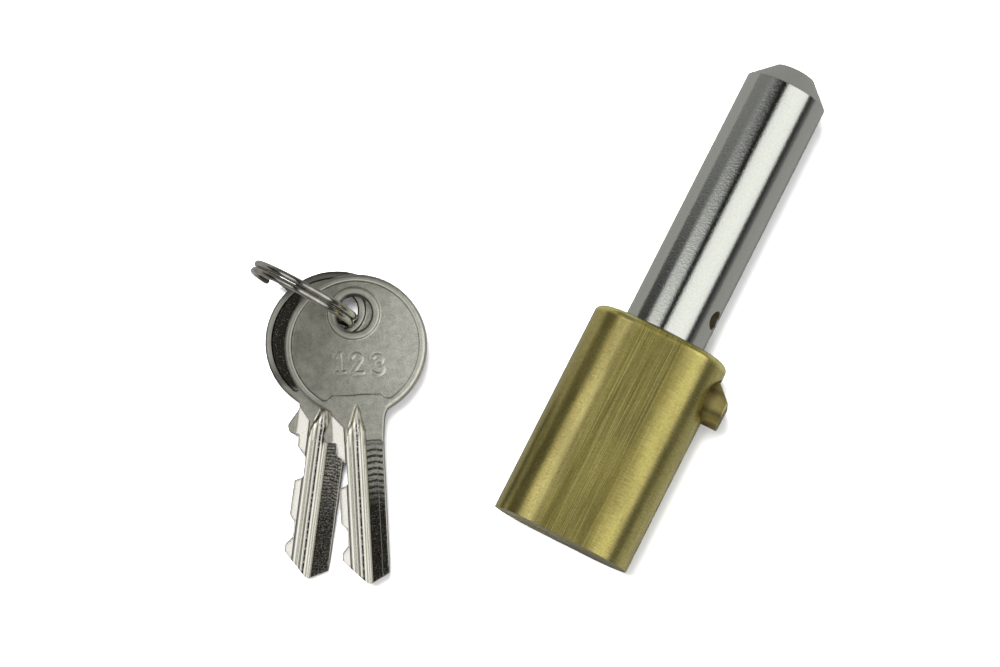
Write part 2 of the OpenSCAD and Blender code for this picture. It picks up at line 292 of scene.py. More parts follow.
def body_brass():
    """Lengthwise scratches on the flats, cross strokes on the round sides, plain ends."""
    mat, place = new_metal("body_brass")
    x, y, z = place.axes()
    _, normal_y, normal_z = surface_normal(mat.node_tree).axes()
    flat = abs(x).ramp(over=(6.4, 3.2))
    ends = abs(normal_y).ramp(over=(0.70, 0.95))
    coarse_scratch = join(x * 3.6, y * 0.050, z).noise(detail=3, rough=0.62)
    fine_scratch = join(x * 6.5, y * 0.035, z + 7.3).noise()
    stroke = join(x * 0.55, y * 13.0, z * 0.55).noise(detail=3, rough=0.6)
    fine_stroke = join(x * 9.0, y * 0.5, z * 9.0).noise(rough=0.55)
    grain = place.noise(scale=11.0, detail=3, rough=0.6)
    broad = join(x * 0.5, y * 0.10, z * 0.5).noise()
    # relief: each noise with its share of the height
    lines = coarse_scratch * 0.6 + fine_scratch * 0.4
    side = stroke * 0.6 + fine_stroke * 0.4
    height = flat.lerp(side, lines) * 0.8 + grain * 0.35
    rim, worn = bevel(mat.node_tree, radius=0.00012)
    # painted highlight and painted shade bands, with borders that wander along the scratches
    wander = x + coarse_scratch.swing(by=1.3)
    painted_bands = wander.ramp(over=(-12, 12), smooth=False).gradient(BODY_PAINTED_LIGHT)
    tone_and_painted_light = broad.ramp(over=(0.35, 0.65)).lerp(0.88, 1.12)
    # painted highlight: up to 2.1 times brighter from y -1.7 mm upwards
    tone_and_painted_light = tone_and_painted_light * y.ramp(over=(-1.7, -0.4)).lerp(1.0, 2.1)
    base = painted_bands.scaled(tone_and_painted_light)
    streak = fine_scratch.ramp(over=(0.53, 0.66))
    base = base.tint((0.74, 0.66, 0.26), streak * flat, by=0.62)
    dark = coarse_scratch.ramp(over=(0.49, 0.36))
    base = base.tint((0.18, 0.145, 0.035), dark * flat, by=0.55)
    base = base.scaled(1.0 + place.noise(scale=3.4, rough=0.6).swing(by=0.9))
    # light and dark strokes on the round sides
    round_side = 1.0 - flat
    base = base.tint((0.80, 0.73, 0.40), round_side * (stroke.ramp(over=(0.42, 0.66)) * 0.22))
    base = base.tint((0.24, 0.20, 0.06), round_side * (stroke.ramp(over=(0.50, 0.30)) * 0.30))
    # small tool nicks in a lane down the shoulder at -x
    lane = x + join(0.0, y, 3.0).noise(scale=0.55, rough=0.6) * 1.1
    cell = join(x * 3.1, y * 2.3, 0.0).voronoi(scale=1.0)
    nick = cell.ramp(over=(0.20, 0.10)) * lane.band(over=(-4.35, -3.6), soft=0.15)
    nick = nick * (grain.ramp(over=(0.42, 0.55)) * normal_z.ramp(over=(0.8, 0.95)))
    base = base.tint((0.07, 0.055, 0.015), nick, by=0.8)
    base = base.tint(grain.tones((0.325, 0.297, 0.138), (0.41, 0.382, 0.190)), ends)
    base = base.tint((0.78, 0.70, 0.38), worn, by=0.7)
    rough = flat.lerp(x.ramp(over=(-1.0, 1.0)).lerp(0.25, 0.29), 0.37)
    rough = ends.lerp(rough + grain.swing(by=0.12), 0.36)
    return finish_metal(mat, base, rough, normal=height.bump(depth=0.0000060, normal=rim))


def turned_brass(name, low, high, rough, stretch):
    """Turned brass: rings about the axis with the large stretch, bright worn edges."""
    mat, place = new_metal(name)
    ring = join(*(a * s for a, s in zip(place.axes(), stretch))).noise(detail=3, rough=0.6)
    grain = place.noise(scale=9.0, detail=3, rough=0.6)
    drift = place.noise(scale=0.35)
    rim, worn = bevel(mat.node_tree, radius=0.00016)
    base = drift.tones(low, high)
    brighter = tuple(min(1, 1.35 * c) for c in high)
    base = base.tint(brighter, ring.ramp(over=(0.4, 0.7)), by=0.25)
    base = base.tint((0.86, 0.76, 0.42), worn, by=0.6)
    height = ring * 0.7 + grain * 0.4
    return finish_metal(mat, base, rough + grain.swing(by=0.09),
                        normal=height.bump(depth=0.000004, normal=rim))


def latch_brass():
    mat, place = new_metal("latch_brass")
    x, y, z = place.axes()
    grain = place.noise(scale=7.0, detail=3, rough=0.6)
    rings = join(x * 6.0, y * 0.5, z * 0.5).noise(rough=0.6)
    drift = place.noise(scale=0.5)
    rim, worn = bevel(mat.node_tree, radius=0.00025)
    base = drift.tones((0.50, 0.415, 0.145), (0.64, 0.54, 0.205))
    # painted shade: the bolt is darkened where it enters its bore
    bore_shade = (x + grain * 0.8).ramp(over=(13.6, 11.9))
    base = base.tint((0.13, 0.085, 0.025), bore_shade, by=0.75)
    base = base.tint((0.92, 0.82, 0.50), worn, by=0.8)
    height = rings * 0.6 + grain * 0.5
    return finish_metal(mat, base, 0.20 + grain * 0.10,
                        normal=height.bump(depth=0.000005, normal=rim))


def pin_plate():
    """Bright plating with a rippled, pitted skin; the ends and the bore are duller."""
    mat, place = new_metal("pin_plate")
    x, y, z = place.axes()
    normal_y = surface_normal(mat.node_tree).axes()[1]
    peel = place.noise(scale=2.6, detail=3, rough=0.66)
    fine = place.noise(scale=9.0, rough=0.6)
    pits = place.voronoi(scale=1.7)
    draw = join(x * 7.0, y * 0.22, z * 7.0).noise()
    cut_end = abs(normal_y).ramp(over=(0.3, 0.6))
    turned = join(x * 0.8, y * 14.0, z * 0.8).noise()
    rim, worn = bevel(mat.node_tree, radius=0.00028)
    # relief: each noise with its share of the height
    height = peel * 1.0 + fine * 0.40 + draw * 0.15
    height = height - pits.ramp(over=(0.13, 0.05)) * 0.5
    height = cut_end.lerp(height, turned * 0.8)
    base = peel.tones((0.615, 0.63, 0.575), (0.665, 0.68, 0.63))
    base = base.tint((0.66, 0.67, 0.65), cut_end, by=0.30)
    bore = length(x, 0.0, z).ramp(over=(7.06, 6.9)) * y.ramp(over=(14.0, 12.0))
    base = base.tint((0.80, 0.80, 0.78), worn, by=0.5)
    base = base.tint((0.62, 0.56, 0.42), bore)
    rough = cut_end.max(bore).lerp(0.035, 0.42) + fine.swing(by=0.06)
    return finish_metal(mat, base, rough, normal=height.bump(depth=0.0000120, normal=rim))


def steel(name, low, high, rough):
    mat, place = new_metal(name)
    grain = place.noise(scale=6.0, detail=3, rough=0.6)
    drift = place.noise(scale=0.8)
    rim, _ = bevel_only(mat.node_tree, radius=0.0001), None
    return finish_metal(mat, drift.tones(low, high), rough + grain * 0.08,
                        normal=grain.bump(depth=0.000004, normal=rim))


def bevel_only(tree, radius):
    """Rounded normal without the edge mask, radius in metres."""
    return add_node(tree, "ShaderNodeBevel", {"Radius": radius}, samples=6)


def ring_plate():
    mat, place = new_metal("ring_plate")
    grain = place.noise(scale=5.0, detail=3, rough=0.6)
    drift = place.noise(scale=0.5)
    base = drift.tones((0.34, 0.33, 0.285), (0.54, 0.53, 0.475))
    scuff = grain.ramp(over=(0.62, 0.72))
    base = base.tint((0.30, 0.28, 0.25), scuff, by=0.4)
    return finish_metal(mat, base, 0.06 + grain * 0.10, normal=grain.bump(depth=0.000007))


# ------------------------------------------------------------------ key materials
def key_satin_and_shade(place, axes, grain, fine, front, back):
    """Satin colour of the bow and neck, with painted shading laid over it."""
    x, y, _ = axes
    # painted shading: lighter towards +x and towards the blade, darker towards the top, and
    # pulled to a middle grey on the neck
    satin_and_shade = (x - y * 0.12).ramp(over=(-9.0, 12.0)).mix(
        (0.280, 0.281, 0.232), (0.76, 0.765, 0.665))
    satin_and_shade = satin_and_shade.tint((0.27, 0.27, 0.225), y.ramp(over=(1.0, 5.5)), by=0.45)
    satin_and_shade = satin_and_shade.tint((0.48, 0.482, 0.41), y.ramp(over=(-10.0, -16.5)), by=0.6)
    drift = place.noise(scale=0.30)
    satin_and_shade = satin_and_shade.tint((0.62, 0.62, 0.54), drift.ramp(over=(0.35, 0.65)), by=0.22)
    speckle = fine.swing(by=1.5) + grain.swing(by=1.3)
    mottle = place.noise(scale=0.9, detail=3, rough=0.6).swing(by=0.8)
    satin_and_shade = satin_and_shade.scaled(1.0 + (speckle + mottle))
    satin_and_shade = satin_and_shade.tint((0.20, 0.195, 0.165), grain.ramp(over=(0.42, 0.30)), by=0.35)
    bow_r = length(x, y + BOW_DROP, 0.0)
    eye_r = length(x, y, 0.0)
    rim = bow_r.band(over=(FIELD_R, 12.2), soft=0.05) * y.ramp(over=(-14.6, -13.2))
    boss = eye_r.ramp(over=(BOSS_R, 4.3))
    if back:
        # painted shade: the back key's rim is darkened at its top and towards the neck, and its
        # field is painted dark as shade, with speckles
        speck = place.noise(scale=4.6, detail=4, rough=0.75).ramp(over=(0.56, 0.70))
        field = speck.mix((0.035, 0.034, 0.026), (0.42, 0.41, 0.36))
        here = bow_r.ramp(over=(11.0, 10.9)) * (y.ramp(over=(-14.6, -13.6)) * front)
        here = here * eye_r.ramp(over=(6.2, 7.4))
        satin_and_shade = satin_and_shade.tint((0.60, 0.595, 0.54), rim, by=0.55)
        satin_and_shade = satin_and_shade.tint(field, rim * y.ramp(over=(-9.0, -12.5)), by=0.65)
        satin_and_shade = satin_and_shade.tint((0.14, 0.135, 0.115), rim * y.ramp(over=(-1.0, 3.5)), by=0.8)
        satin_and_shade = satin_and_shade.tint(field, here * (1.0 - boss))
    else:
        satin_and_shade = satin_and_shade.tint((0.62, 0.62, 0.54), rim.max(boss), by=0.40)
        # painted highlight along the inner edge of the rim
        lip_highlight = bow_r.band(over=(10.92, 11.14), soft=0.05) * y.ramp(over=(-14.6, -13.2))
        satin_and_shade = satin_and_shade.tint((0.97, 0.96, 0.88), lip_highlight, by=0.7)
    # painted shade: dark arc on the eye's wall
    eye_wall_shade = eye_r.band(over=(2.6, 3.34), soft=0.06) * (x + y * 0.7).ramp(over=(-0.8, 1.8))
    return satin_and_shade.tint((0.06, 0.06, 0.05), eye_wall_shade, by=0.75)


def stripes(x, spans):
    """Four lengthwise stripes; each span is (start x, end x, softness)."""
    one, two, three, four = (x.band(over=(s, e), soft=soft) for s, e, soft in spans)
    return one.max(two).max(three.max(four))


def key_bright(x, y, along, cut, spear):
    """Bright cut metal, with the groove's bars and dark lines as painted highlights and painted
    shade.
    """
    bright = along.ramp(over=(0.35, 0.65)).mix((0.66, 0.635, 0.56), (0.88, 0.865, 0.80))
    bright = bright.tint((0.97, 0.94, 0.86), cut, by=0.85)
    deep = y.ramp(over=(-17.2, -19.2))
    # painted shade: darker at the groove's pointed head
    bright = bright.tint((0.36, 0.345, 0.255), y.ramp(over=(-21.6, -17.4)) * spear, by=0.62)
    # stripes of painted shade and painted highlight across the groove
    groove_shade = stripes(x, [(-2.08, -1.86, 0.05), (-1.46, -1.10, 0.06),
                       (-0.12, 0.14, 0.04), (0.68, 0.98, 0.05)])
    groove_highlight = stripes(x, [(-2.36, -2.10, 0.04), (-1.82, -1.50, 0.05),
                        (-1.04, -0.68, 0.04), (-0.40, -0.20, 0.04)])
    bright = bright.tint((1.0, 0.985, 0.915), groove_highlight * deep, by=0.85)
    bright = bright.tint((0.42, 0.41, 0.255), groove_shade * deep, by=0.70)
    # painted shade: dark lines along the groove
    dash = join(0.0, y, 0.0).noise(scale=2.2).ramp(over=(0.40, 0.52))
    solid = x.band(over=(-2.70, -2.40), soft=0.03).max(x.band(over=(0.96, 1.10), soft=0.03))
    thin = x.band(over=(-1.24, -1.12), soft=0.03).max(x.band(over=(-0.02, 0.08), soft=0.03))
    dashed = x.band(over=(-0.72, -0.44), soft=0.03) * dash.lerp(0.20, 1.0)
    lines = solid.max((thin * 0.6).max(dashed))
    return bright.tint((0.045, 0.043, 0.036), lines * deep, by=0.92)


# The milled band on each key, painted dark as shade with painted highlights on the ripples:
# pitch of the ripple (mm), scale and size of its waver, blotch values from dark to light, y from
# unlit to lit, blotch values of the lit part, scratch.
MILL_FRONT = dict(pitch=CHATTER_PITCH, waver_scale=1.2, waver=0.30, dark=(0.50, 0.70),
                  lit_y=(-33.5, -26.5), lit_blotch=(0.30, 0.55), scratch=0.55)
MILL_BACK = dict(pitch=0.56, waver_scale=2.6, waver=0.8, dark=(0.46, 0.64),
                 lit_y=(-37.0, -27.0), lit_blotch=(0.38, 0.60), scratch=0.0)


def key_milled(axes, back):
    """Milled band painted dark as shade, with the cutter's chatter across it, painted highlights
    on its ripples and the blotches on it.
    """
    x, y, z = axes
    mill = MILL_BACK if back else MILL_FRONT
    phase = y + calc("SINE", x * CHATTER_TURN) * CHATTER_SWAY
    if back:
        phase = phase + x * 0.12
    waver = join(x * 1.3, y, 0.0).noise(scale=mill["waver_scale"], detail=3, rough=0.6)
    phase = phase + waver * mill["waver"]
    wave = calc("SINE", phase * (2 * math.pi / mill["pitch"]))
    blotch = join(x * 2.2, y * 2.6, z).noise(scale=1.6, detail=4, rough=0.75)
    # painted shade: the band is made near black, in blotches
    milled_shade = blotch.ramp(over=mill["dark"]).mix((0.020, 0.019, 0.014), (0.26, 0.25, 0.22))
    # painted highlights on the ripples, fading along y
    ripple_highlight = wave.ramp(over=(-1.1, 0.6)) * y.ramp(over=mill["lit_y"])
    ripple_highlight = ripple_highlight * blotch.ramp(over=mill["lit_blotch"])
    milled_shade = milled_shade.tint((0.62, 0.61, 0.53), ripple_highlight, by=0.90)
    # painted light: lighter towards the band's upper end
    milled_shade = milled_shade.tint((0.42, 0.41, 0.37), y.ramp(over=(-23.4, -21.9)), by=0.55)
    lane = x + join(0.0, y, 0.0).noise(scale=0.25) * 0.2
    scratch = lane.band(over=(2.70, 2.80), soft=0.03)
    return milled_shade.tint((0.50, 0.49, 0.45), scratch, by=mill["scratch"]), blotch


def key_nickel(back=False):
    """Nickelled key: satin bow and neck with painted shading, bright cuts, groove with painted
    highlights and shade, milled band painted dark as shade.
    """
    mat, place = new_metal("key_nickel_back_shaded" if back else "key_nickel")
    axes = x, y, z = place.axes()
    normal = surface_normal(mat.node_tree)
    grain = place.noise(scale=6.5, detail=3, rough=0.65)
    fine = place.noise(scale=15.0, rough=0.6)
    along = join(x * 16.0, y * 0.25, z).noise(detail=3, rough=0.6)
    front = z.ramp(over=(-0.1, 0.1))
    # where the cutters have been: the face at -x, the groove and the band beside it
    cut = cut_slant(x, y).ramp(over=(0.0, -0.2)) * x.band(over=(-4.72, -2.51), soft=0.04)
    cut = cut * y.ramp(over=(-16.9, -17.1))
    spear_half = y.ramp(over=(SPEAR_Y, -20.2), smooth=False) * 1.66
    spear = (abs(x + 0.55).ramp(over=(spear_half + 0.12, spear_half + 0.02))
             * y.ramp(over=(SPEAR_Y, -15.6)))
    blade = cut.max(spear).max(y.ramp(over=(-21.75, -21.9)) * 1.0)
    milled = x.band(over=(1.02, 3.66), soft=0.05) * y.ramp(over=(-21.55, -21.85)) * front
    satin_and_shade = key_satin_and_shade(place, axes, grain, fine, front, back)
    milled_shade, blotch = key_milled(axes, back)
    base = satin_and_shade.tint(key_bright(x, y, along, cut, spear), blade).tint(milled_shade, milled)
    # relief: each noise with its share of the height
    height = blade.lerp(grain * 1.0 + fine * 0.5, along * 0.7)
    height = milled.lerp(height, blotch * 1.6)
    # the cut face and the groove lean along x, each by its own amount
    groove = blade * (1.0 - milled) * (1.0 - cut)
    amount = (cut * 0.16 + groove * 0.11) * front.lerp(-1.0, 1.0)
    lean = add_node(mat.node_tree, "ShaderNodeVectorMath", {0: (1, 0, 0), "Scale": amount},
                    operation="SCALE")
    lean = add_node(mat.node_tree, "ShaderNodeVectorTransform", {0: lean},
                    vector_type="VECTOR", convert_from="OBJECT", convert_to="WORLD")
    tilt = calc("ADD", normal, lean, kind="ShaderNodeVectorMath")
    tilt = calc("NORMALIZE", tilt, kind="ShaderNodeVectorMath")
    rough = milled.lerp(blade.lerp(0.40, 0.27), 0.34) + fine.swing(by=0.10)
    return finish_metal(mat, base, rough, normal=height.bump(depth=0.0000085, normal=tilt))


MATS = {
    "body_brass": body_brass(),
    "plug_brass": turned_brass("plug_brass", low=(0.50, 0.43, 0.18), high=(0.60, 0.52, 0.23),
                               rough=0.26, stretch=(0.4, 9.0, 0.4)),
    "tumbler_brass": turned_brass("tumbler_brass", low=(0.62, 0.52, 0.24),
                                  high=(0.72, 0.60, 0.28), rough=0.20, stretch=(9.0, 0.4, 0.4)),
    "latch_brass": latch_brass(),
    "pin_plate": pin_plate(),
    "ring_plate": ring_plate(),
    "dowel_steel": steel("dowel_steel", low=(0.40, 0.40, 0.41), high=(0.52, 0.52, 0.53),
                         rough=0.28),
    "spring_steel": steel("spring_steel", low=(0.46, 0.46, 0.47), high=(0.60, 0.60, 0.61),
                          rough=0.22),
    "key_nickel": key_nickel(),
}
for part in frame["record"]["subparts"]:
    for mat_slot in frame["nodes"][part["node"]].material_slots:
        mat_slot.material = MATS[part["material_slot"]]


# ------------------------------------------------------------------ mesh helpers
def add_object(name, data):
    obj = bpy.data.objects.new(name, data)
    bpy.context.scene.collection.objects.link(obj)
    return obj


def new_mesh(name, verts, faces):
    mesh = bpy.data.meshes.new(name)
    mesh.from_pydata(verts, [], faces)
    return mesh


def smooth_skin(mesh, sharp_degrees, slot):
    mesh.update()
    mesh.shade_smooth()
    mesh.set_sharp_from_angle(angle=math.radians(sharp_degrees))
    mesh.materials.append(MATS[slot])


def tube(path, radii, axis, sides, squeeze=1.0):
    """Wire along a path that winds about the axis; squeeze flattens it across the axis."""
    last = len(path) - 1
    verts, faces = [], []
    for i in range(last + 1):
        tangent = path[min(i + 1, last)] - path[max(i - 1, 0)]
        tangent /= np.linalg.norm(tangent)
        outward = np.cross(tangent, axis)
        outward /= np.linalg.norm(outward)
        sideways = np.cross(outward, tangent)
        for k in range(sides):
            turn = 2 * math.pi * k / sides
            verts.append(path[i] + radii[i] * (squeeze * math.cos(turn) * outward
                                               + math.sin(turn) * sideways))
    for i in range(last):
        for k in range(sides):
            a, b = i * sides + k, i * sides + (k + 1) % sides
            faces.append((a, b, b + sides, a + sides))
    faces.append(tuple(range(sides - 1, -1, -1)))
    faces.append(tuple(last * sides + k for k in range(sides)))
    return np.array(verts), [f[::-1] for f in faces]


# ------------------------------------------------------------------ keys
# Where the bow's circle meets the neck, and the outline between, clockwise seen from the
# front: (x, y) from the stop tooth at -x down to the tip and up the plain side at +x.
BOW_START, BOW_END = (4.90, -16.38), (-4.62, -16.50)
BOW_STEPS = 170
BLADE_OUTLINE = [
    (-4.66, -17.2), (-4.82, -17.75), (-6.10, -20.0), (-6.25, -20.35), (-6.18, -20.75),
    (-5.88, -21.45), (-5.65, -21.62), (-4.35, -21.70), (-4.14, -21.88), (-4.08, -23.8),
    (-2.55, -25.4), (-2.5, -25.6), (-2.5, -28.65), (-2.62, -28.85), (-3.86, -29.5),
    (-3.9, -29.65), (-3.9, -30.5), (-3.94, -33.0), (-3.94, -35.25), (-3.86, -35.4),
    (-3.02, -36.5), (-2.96, -36.7), (-2.96, -38.9), (-3.04, -39.1), (-3.98, -40.25),
    (-4.04, -40.4), (-4.02, -41.45), (-3.94, -41.6), (-0.12, -45.4), (0.1, -45.5),
    (0.5, -45.5), (0.7, -45.44), (3.52, -43.9), (3.62, -43.7), (3.72, -41.8),
    (3.84, -24.0), (3.88, -21.7), (4.02, -19.75), (4.17, -18.25), (4.30, -17.6),
    (4.45, -17.1), (4.68, -16.68)]
OUTLINE_STEP = 0.4

# Groove edges on the front face: distance below the eye, x of each edge.
GROOVE_EDGES = np.array([
    (15.4, -0.19, -0.19), (16.6, -0.80, 0.36), (18.2, -1.25, 0.62), (20.1, -2.20, 1.04),
    (22.0, -2.53, 1.00)]).T
# Groove section: share of its width from -x, depth.
GROOVE_SECTION = np.array([
    (0, 0), (0.034, 0.68), (0.278, 0.70), (0.298, 0.66), (0.425, 0.66), (0.465, 0.52),
    (0.514, 0.52), (0.558, 0.72), (0.622, 0.52), (0.656, 0.52), (0.749, 0.67),
    (0.769, 0.69), (0.887, 0.68), (0.915, 0.50), (0.972, 0.49), (1.0, 0.0)]).T
SPEAR_SECTION = np.array([(0, 0), (0.16, 0.42), (0.5, 0.56), (0.84, 0.42), (1.0, 0)]).T

# Mesh points: (radius, count) about the eye, radii about the bow's centre, x of blade rows.
EYE_RINGS = [(3.25, 72), (3.4, 74), (3.65, 76), (4.0, 80), (4.28, 96), (4.36, 96),
             (4.46, 96), (4.54, 96), (4.8, 92)]
BOW_RINGS = [11.95, 11.82, 11.66, 11.45, 11.2, 11.04, 10.96, 10.88, 10.80, 10.72, 10.64, 10.4]
BLADE_XS = [
    -2.41, -2.47, -2.53, -2.59, -2.28, -1.9, -1.53, -1.51, -1.2, -1.05, -0.91, -0.84, -0.72,
    -0.56, -0.46, -0.33, -0.22, -0.05, 0.12, 0.16, 0.4, 0.62, 0.75, 0.82, 0.88, 0.94, 1.00,
    1.06, 1.12, 1.3, 1.6, 2.0, 2.4, 2.8, 3.2, 3.5, 3.62, -2.6, -3.0, -3.4, -3.7, -3.95]
EYE_COUNT = 72
BOW_COUNT = 260


def arc(cx, cy, rx, ry, start, end, steps=14):
    """Points on an ellipse, angles in degrees."""
    angles = [math.radians(start + (end - start) * k / steps) for k in range(steps + 1)]
    return [(cx + rx * math.cos(a), cy + ry * math.sin(a)) for a in angles]


# The digits 1 2 3, each drawn in a 2 by 3.2 box, and their centres on the bow.
DIGITS = [
    [[(-0.55, 0.95), (0.15, 1.6), (0.15, -1.6)], [(-0.5, -1.6), (0.8, -1.6)]],
    [arc(0, 0.75, 0.85, 0.85, 165, -25) + [(-0.85, -1.6), (0.95, -1.6)]],
    [arc(-0.05, 0.80, 0.82, 0.80, 150, -80), arc(-0.05, -0.78, 0.92, 0.84, 82, -150)],
]
DIGIT_AT = [(-2.85, -8.25), (0.1, -8.5), (3.65, -8.95)]
DIGIT_SEGMENTS = [((cx + a[0], cy + a[1]), (cx + b[0], cy + b[1]))
                  for strokes, (cx, cy) in zip(DIGITS, DIGIT_AT)
                  for line in strokes for a, b in zip(line[:-1], line[1:])]


def closed(points):
    """The segments of a closed outline."""
    return list(zip(points, points[1:] + points[:1]))


def key_outline():
    start = math.atan2(BOW_START[1] + BOW_DROP, BOW_START[0])
    end = math.atan2(BOW_END[1] + BOW_DROP, BOW_END[0]) + 2 * math.pi
    angles = [start + (end - start) * k / BOW_STEPS for k in range(BOW_STEPS + 1)]
    corners = [(BOW_R * math.cos(a), -BOW_DROP + BOW_R * math.sin(a)) for a in angles]
    outline = []
    for p, q in closed(corners + BLADE_OUTLINE):
        count = max(1, int(math.dist(p, q) / OUTLINE_STEP))
        for j in range(count):
            outline.append((p[0] + (q[0] - p[0]) * j / count, p[1] + (q[1] - p[1]) * j / count))
    return outline


def smooth(start, end, value):
    """0 at start, 1 at end, eased between."""
    t = np.clip((value - start) / (end - start), 0, 1)
    return t * t * (3 - 2 * t)


def distance(points, segments):
    """Distance of each point to the nearest segment."""
    nearest = np.full(len(points), 1e9)
    for a, b in segments:
        a, b = np.array(a), np.array(b)
        along = b - a
        t = np.clip(((points - a) @ along) / max(along @ along, 1e-12), 0, 1)
        nearest = np.minimum(nearest, np.hypot(*(points - (a + t[:, None] * along)).T))
    return nearest


def inside(points, segments):
    """True for each point within the closed outline."""
    x, y = points[:, 0], points[:, 1]
    result = np.zeros(len(points), bool)
    for (ax, ay), (bx, by) in segments:
        if ay != by:
            result ^= ((ay > y) != (by > y)) & (x < (bx - ax) * (y - ay) / (by - ay) + ax)
    return result


def rounding(edge, width, limit=1.0):
    """Quarter-circle fall from 0 at the width to 1 at the outline."""
    return 1 - np.sqrt(1 - np.clip(1 - edge / width, 0, limit) ** 2)


def bow_heights(x, y, edge):
    """The relief both faces share: field, boss, eased eye and rounded outer edge."""
    bow_r = np.hypot(x, y + BOW_DROP)
    eye_r = np.hypot(x, y)
    # the field stops at the neck panel, whose corners are cut off
    panel_top = -13.93 - 0.02 * (x + 0.3)
    corner = np.maximum(-(x + 4.35) * 0.72, (x - 3.85) * 0.95)
    above = y - (panel_top - np.clip(corner, 0, 0.75))
    height = HALF_THICK - 0.36 * smooth(FIELD_R, 10.72, bow_r) * smooth(0.0, 0.16, above)
    boss = smooth(BOSS_R, 4.32, eye_r)
    height = height * (1 - boss) + (HALF_THICK - 0.03) * boss
    height -= 0.30 * smooth(3.62, 3.08, eye_r) ** 2
    on_bow = smooth(-16.9, -15.4, y)
    height -= rounding(edge, width=0.62, limit=0.999) * 0.55 * on_bow
    height -= rounding(edge, width=0.16) * 0.04 * (1 - on_bow)
    return height


def groove_depth(x, y):
    """Front groove: a spear head that runs into the full section."""
    left, right = (np.interp(-y, GROOVE_EDGES[0], side) for side in GROOVE_EDGES[1:])
    share = (x - left) / np.maximum(right - left, 1e-6)
    head = np.interp(share, *SPEAR_SECTION)
    section = np.interp(share, *GROOVE_SECTION)
    run = smooth(-17.6, -20.6, y)
    fade = smooth(SPEAR_Y, -17.0, y)
    return np.where((y < SPEAR_Y) & (share > 0) & (share < 1),
                    (head * (1 - run) + section * run) * (0.35 + 0.65 * fade), 0)


def milled_depth(x, y):
    """Milled band beside the groove at +x: curved upper end, chatter, rising outer side."""
    curve = 0.35 * np.clip(x - 3.1, 0, 1) ** 2 * 2.5
    mill = smooth(0.94, 1.06, x) * smooth(-21.5 - curve, -21.75 - curve, y)
    ripple = np.sin(2 * math.pi * (y + CHATTER_SWAY * np.sin(x * CHATTER_TURN)) / CHATTER_PITCH)
    chatter = 0.018 * ripple * smooth(-34.0, -30.0, y)
    return (0.40 + chatter) * mill * np.where(x < 3.5, 1, 1 - (x - 3.5) / 0.55)


def front_heights(points, edge):
    x, y = points[:, 0], points[:, 1]
    height = bow_heights(x, y, edge)
    # milled side face that carries the cuts
    cut = smooth(0.0, -0.14, cut_slant(x, y)) * smooth(-2.47, -2.59, x) * smooth(-5.1, -4.75, x)
    height -= (0.14 + 0.030 * (-2.3 - x)) * cut
    # stop tooth, falling away to its corner
    tooth = smooth(-4.70, -4.80, x) * smooth(-17.4, -18.2, y)
    height -= tooth * np.clip(0.05 + 0.34 * (-4.7 - x), 0, 0.7)
    height -= np.maximum(groove_depth(x, y), milled_depth(x, y))
    # raised digits in a shallow moat
    away = distance(points, DIGIT_SEGMENTS)
    height += (0.085 * smooth(0.30, 0.16, away)
               - 0.04 * smooth(0.60, 0.40, away) * smooth(0.28, 0.42, away))
    return height


def back_heights(points, edge):
    """The back face has one plain groove."""
    x, y = points[:, 0], points[:, 1]
    groove = 0.6 * smooth(1.35, 1.05, np.abs(x - 1.0)) * smooth(-16.9, -17.9, y)
    return bow_heights(x, y, edge) - groove


def circle(radius, count, cy=0.0):
    return [(radius * math.cos(2 * math.pi * k / count),
             cy + radius * math.sin(2 * math.pi * k / count)) for k in range(count)]


def grid(xs, ys):
    return [(x, y) for y in ys for x in xs]


def key_points(segments):
    """Inner mesh points, dense where the relief is fine and thinned where they crowd."""
    points = []
    for radius, count in EYE_RINGS:
        points += circle(radius, count)
    for radius in BOW_RINGS:
        points += circle(radius, BOW_COUNT, cy=-BOW_DROP)
    points += grid(BLADE_XS, np.arange(-45.2, -20.0, 0.26))
    points += grid(np.arange(-6.1, 4.8, 0.15), np.arange(-22.3, -13.5, 0.13))
    points += [(x, y) for x, y in grid(np.arange(-11.0, 12.0, 0.42), np.arange(-17.4, 6.6, 0.42))
               if x ** 2 + (y + BOW_DROP) ** 2 < 10.5 ** 2
               and (y > -13.6 or abs(x) > 5.2) and x * x + y * y > 4.9 ** 2]
    points += grid(np.arange(-4.4, 5.0, 0.125), np.arange(-11.2, -6.2, 0.125))
    points = np.array(points)
    points = points[inside(points, segments) & (distance(points, segments) > 0.07)
                    & (np.hypot(*points.T) > EYE_R + 0.10)]
    cells = np.round(points / 0.05).astype(int)
    return points[np.unique(cells, axis=0, return_index=True)[1]]


